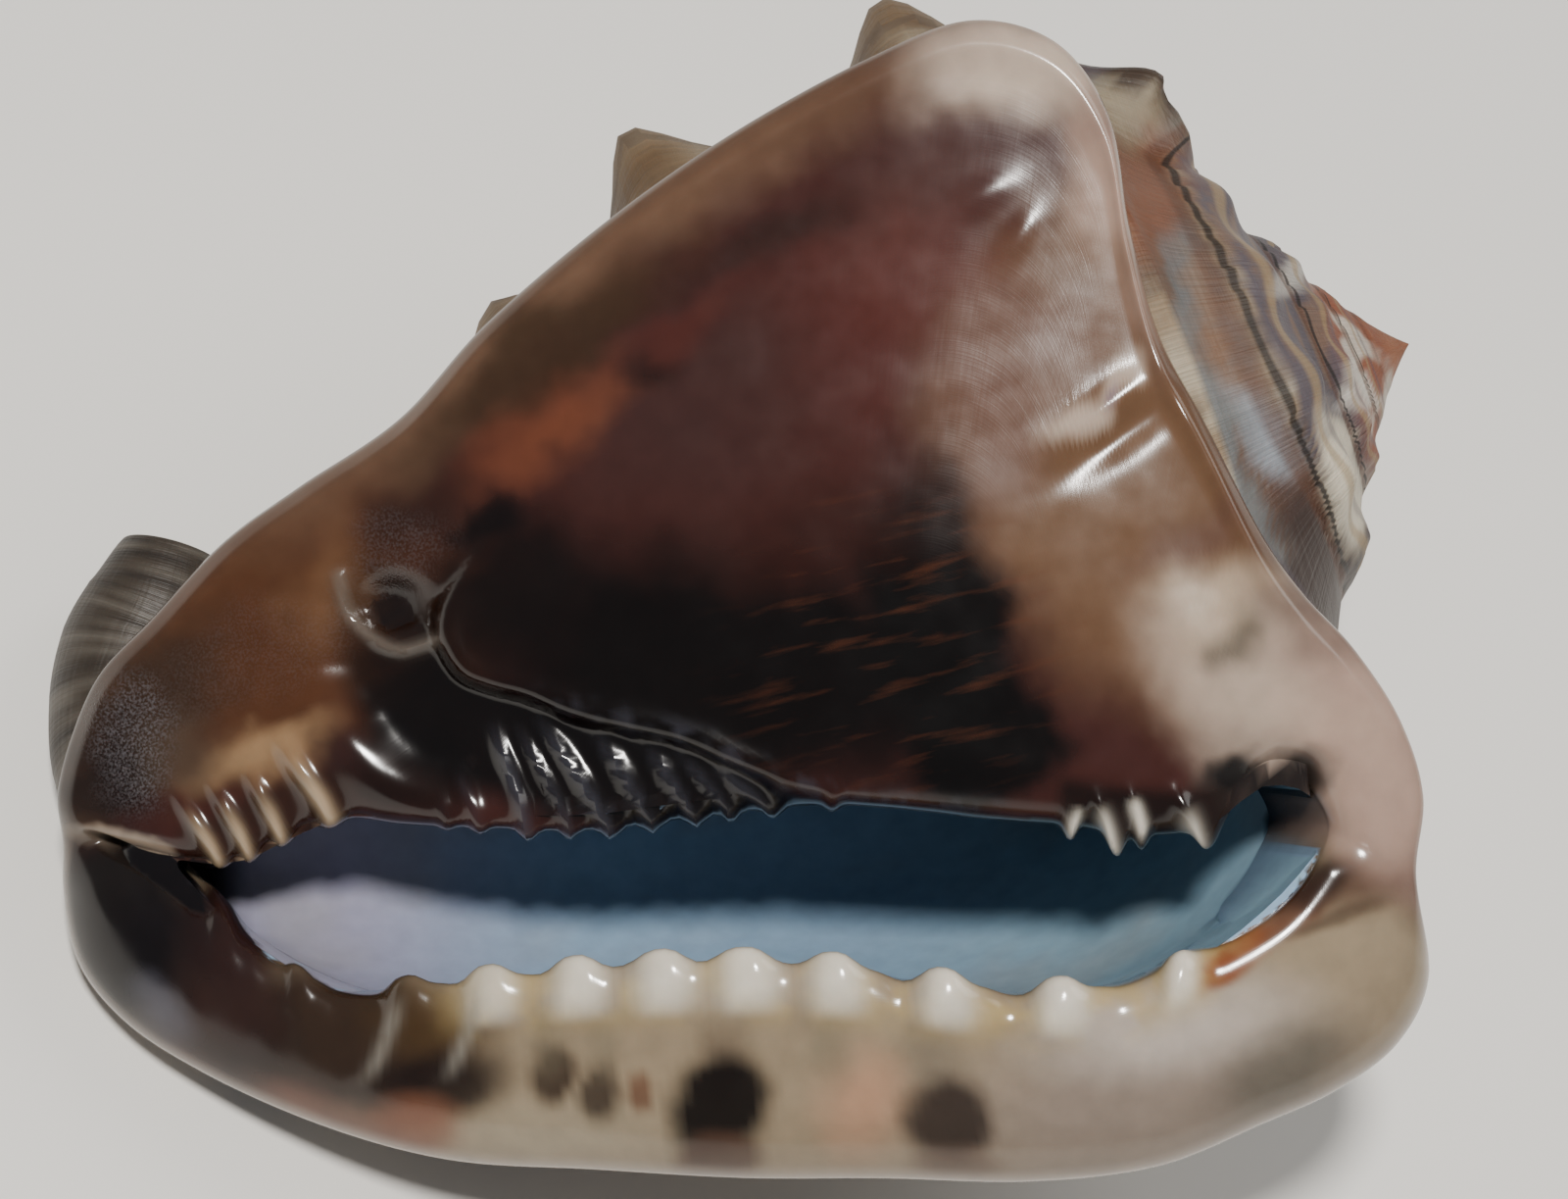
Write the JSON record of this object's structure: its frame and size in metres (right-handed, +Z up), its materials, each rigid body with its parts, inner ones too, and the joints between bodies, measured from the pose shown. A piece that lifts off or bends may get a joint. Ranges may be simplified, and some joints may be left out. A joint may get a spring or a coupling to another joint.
{
  "type": "helmet shell",
  "caption": "Large sea snail's helmet shell lying on its back: triangular shield, toothed slit mouth, thick outer lip, low knobbed spire and upturned front canal.",
  "frame": {"origin": "centre of the bounding box at the level of the surface the shell lies on", "axes": "+Z up as the shell lies mouth up on its back, +X along the mouth from the front canal towards the spire"},
  "size_m": [0.1954, 0.1744, 0.1342],
  "materials": {
    "shell": "glossy"
  },
  "bodies": {
    "root": {"helmet_shell": "shell"}
  },
  "joints": []
}
